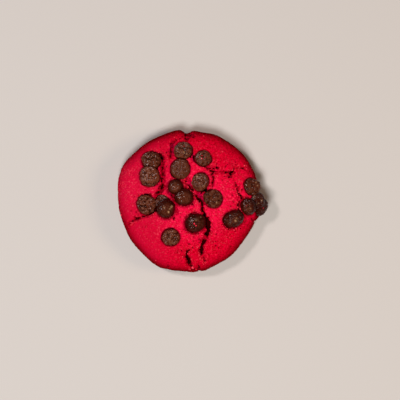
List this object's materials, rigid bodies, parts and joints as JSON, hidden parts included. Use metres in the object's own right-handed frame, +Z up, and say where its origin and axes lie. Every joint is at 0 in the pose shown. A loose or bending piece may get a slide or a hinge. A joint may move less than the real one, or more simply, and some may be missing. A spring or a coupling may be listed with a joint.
{
  "type": "forest fruit cookie",
  "caption": "Thick round crimson cookie with a cracked domed top, soft rounded sides, a flat base and dark chocolate drops pressed into the top.",
  "frame": {"origin": "under the middle of the whole cookie, on the surface that it lies on", "axes": "+Z up out of the cookie's top, +X along its longest extent, towards the drops that hang over the rim, +Y to the far rim with the torn corner"},
  "size_m": [0.0808, 0.0768, 0.0227],
  "materials": {
    "crust": "matte, sandy baked crumb in deep crimson red, more magenta inside the cracks",
    "chocolate": "dark chocolate that has melted and set again: satin, slightly wrinkled, with a faint pale bloom"
  },
  "bodies": {
    "root": {"dough": "crust", "drop_01": "chocolate", "drop_02": "chocolate", "drop_03": "chocolate", "drop_04": "chocolate", "drop_05": "chocolate", "drop_06": "chocolate", "drop_07": "chocolate", "drop_08": "chocolate", "drop_09": "chocolate", "drop_10": "chocolate", "drop_11": "chocolate", "drop_12": "chocolate", "drop_13": "chocolate", "drop_14": "chocolate", "drop_15": "chocolate", "drop_16": "chocolate", "drop_17": "chocolate", "drop_18": "chocolate", "drop_19": "chocolate"}
  },
  "joints": []
}
